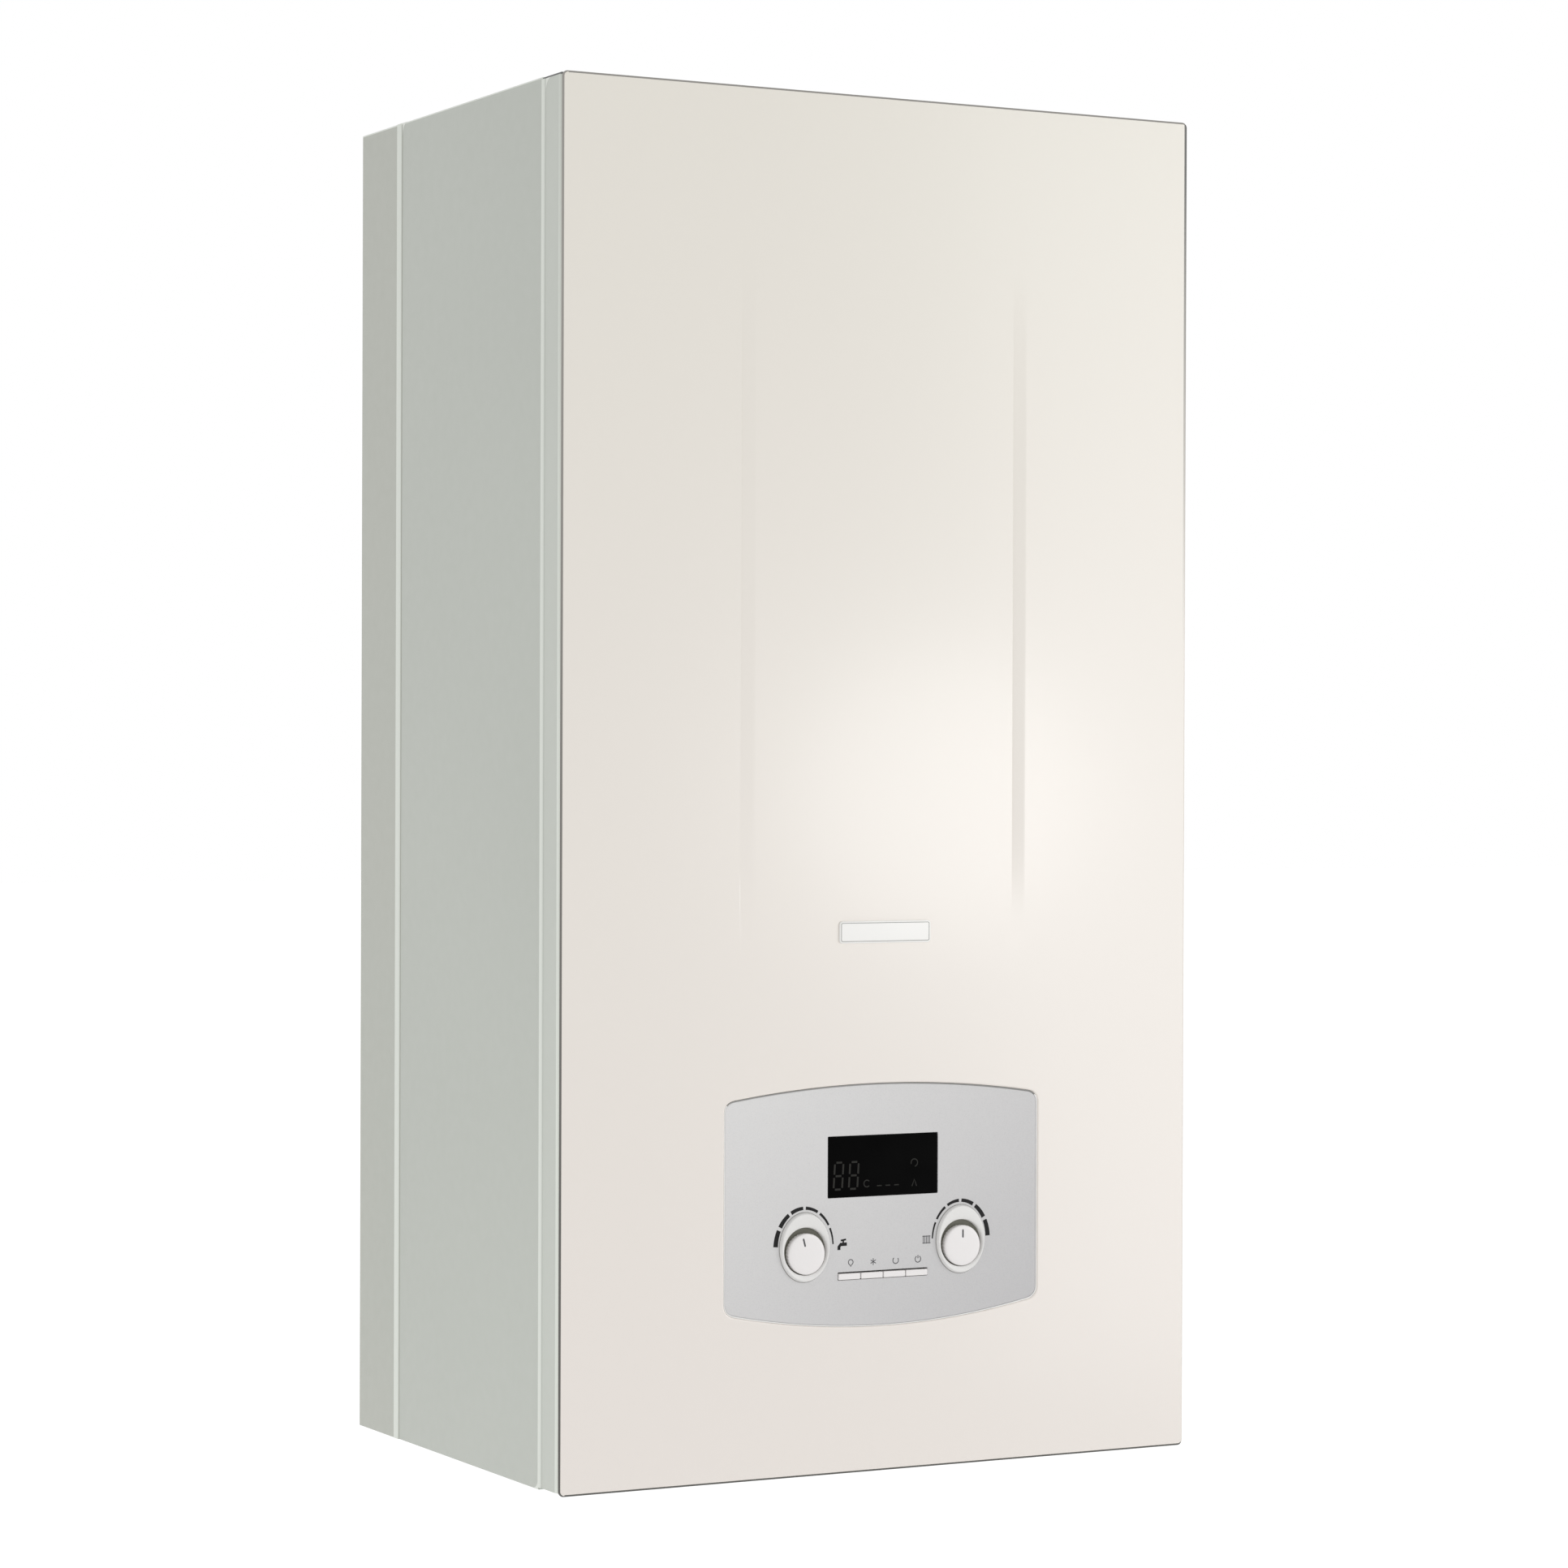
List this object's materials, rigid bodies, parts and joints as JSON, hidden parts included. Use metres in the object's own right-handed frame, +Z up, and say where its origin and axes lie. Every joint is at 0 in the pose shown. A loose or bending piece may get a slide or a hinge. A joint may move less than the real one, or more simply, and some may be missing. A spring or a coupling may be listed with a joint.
{
  "type": "wall-hung combi boiler",
  "caption": "Wall-hung gas combi boiler: white front cover, control fascia with two dials, display window and push buttons, sealed chamber with fan and flue collar, pump and pipe unions below.",
  "frame": {"origin": "middle of the wall bracket's back face, on the wall", "axes": "+Z up, +Y into the wall, so the front faces -Y, and +X to the right of someone who faces the boiler"},
  "size_m": [0.4, 0.2882, 0.77],
  "materials": {
    "gloss_white_enamel": "glossy warm white enamel",
    "casing_paint": "satin pale grey paint",
    "dark_rubber": "matt dark grey seal",
    "badge_white": "white plaque, left bare",
    "fascia_silver": "satin silver-grey plastic",
    "window_black": "gloss black window",
    "white_plastic": "semi-gloss white plastic",
    "grey_plastic": "matt dark grey plastic",
    "black_plastic": "matt black plastic",
    "blue_plastic": "matt blue plastic",
    "red_plastic": "matt red plastic",
    "board_green": "green circuit board",
    "ceramic_fibre": "white ceramic fibre board",
    "zinc_steel": "zinc-plated or stainless sheet",
    "copper": "bare copper",
    "brass": "turned and cast brass",
    "cast_aluminium": "cast aluminium",
    "black_paint": "black painted motor",
    "vessel_red": "red painted vessel"
  },
  "bodies": {
    "boiler": {"rear_chassis": "casing_paint", "side_panel_left": "casing_paint", "side_panel_right": "casing_paint", "top_panel": "casing_paint", "bottom_plate": "casing_paint", "wall_bracket": "zinc_steel", "cover_screw_left": "zinc_steel", "cover_screw_right": "zinc_steel", "fascia": "fascia_silver", "display_window": "window_black", "hot_water_collar": "white_plastic", "heating_collar": "white_plastic", "control_box": "grey_plastic", "control_board": "board_green", "hot_water_potentiometer": "blue_plastic", "heating_potentiometer": "blue_plastic", "air_box": "zinc_steel", "air_box_cover": "zinc_steel", "burner": "zinc_steel", "gas_manifold": "brass", "combustion_chamber": "ceramic_fibre", "ignition_electrode": "ceramic_fibre", "heat_exchanger": "copper", "flue_hood": "zinc_steel", "fan_housing": "cast_aluminium", "fan_motor": "black_paint", "flue_collar": "cast_aluminium", "air_pressure_switch": "black_plastic", "expansion_vessel": "vessel_red", "pump_body": "cast_aluminium", "pump_motor": "black_paint", "air_vent": "brass", "return_manifold": "brass", "flow_manifold": "brass", "diverter_actuator": "grey_plastic", "plate_heat_exchanger": "zinc_steel", "gas_valve": "cast_aluminium", "gas_feed_pipe": "copper", "flow_pipe": "copper", "return_pipe": "copper", "heating_flow_union": "copper", "hot_water_union": "copper", "gas_union": "brass", "cold_water_union": "copper", "heating_return_union": "copper", "cable_gland": "black_plastic"},
    "front_cover": {"front_panel": "gloss_white_enamel", "front_gasket": "dark_rubber", "front_cover_tray": "casing_paint", "badge_plaque": "badge_white"},
    "hot_water_dial": {"hot_water_knob": "white_plastic"},
    "heating_dial": {"heating_knob": "white_plastic"},
    "summer_key": {"summer_button": "white_plastic"},
    "winter_key": {"winter_button": "white_plastic"},
    "reset_key": {"reset_button": "white_plastic"},
    "power_key": {"power_button": "white_plastic"},
    "fan_rotor": {"fan_wheel": "cast_aluminium"},
    "pump_rotor": {"pump_impeller": "cast_aluminium"},
    "filling_tap": {"filling_tap_knob": "black_plastic"},
    "relief_valve": {"relief_valve_knob": "red_plastic"}
  },
  "joints": [
    {"name": "front_cover_pull", "type": "slide", "parent": "boiler", "child": "front_cover", "axis": [0, -1, 0], "range_m": [0, 0.3]},
    {"name": "hot_water_turn", "type": "hinge", "parent": "boiler", "child": "hot_water_dial", "pos_m": [-0.05, -0.285, -0.5359], "axis": [0, 1, 0], "range_deg": [-75, 105]},
    {"name": "heating_turn", "type": "hinge", "parent": "boiler", "child": "heating_dial", "pos_m": [0.05, -0.285, -0.5359], "axis": [0, 1, 0], "range_deg": [-90, 90]},
    {"name": "summer_press", "type": "slide", "parent": "boiler", "child": "summer_key", "axis": [0, 1, 0], "range_m": [0, 0.001], "stiffness_N_per_m": 600, "springref_m": -0.0015},
    {"name": "winter_press", "type": "slide", "parent": "boiler", "child": "winter_key", "axis": [0, 1, 0], "range_m": [0, 0.001], "stiffness_N_per_m": 600, "springref_m": -0.0015},
    {"name": "reset_press", "type": "slide", "parent": "boiler", "child": "reset_key", "axis": [0, 1, 0], "range_m": [0, 0.001], "stiffness_N_per_m": 600, "springref_m": -0.0015},
    {"name": "power_press", "type": "slide", "parent": "boiler", "child": "power_key", "axis": [0, 1, 0], "range_m": [0, 0.001], "stiffness_N_per_m": 600, "springref_m": -0.0015},
    {"name": "fan_spin", "type": "hinge", "parent": "boiler", "child": "fan_rotor", "pos_m": [-0.031, -0.16, 0.002], "axis": [0, 1, 0], "continuous": true},
    {"name": "pump_spin", "type": "hinge", "parent": "boiler", "child": "pump_rotor", "pos_m": [0.13, -0.12, -0.51], "axis": [0, 1, 0], "continuous": true},
    {"name": "filling_tap_turn", "type": "hinge", "parent": "boiler", "child": "filling_tap", "pos_m": [0.097, -0.15, -0.64], "axis": [0, 0, -1], "range_deg": [0, 90]},
    {"name": "relief_valve_turn", "type": "hinge", "parent": "boiler", "child": "relief_valve", "pos_m": [0.13, -0.17, -0.582], "axis": [0, -1, 0], "range_deg": [0, 90]}
  ]
}
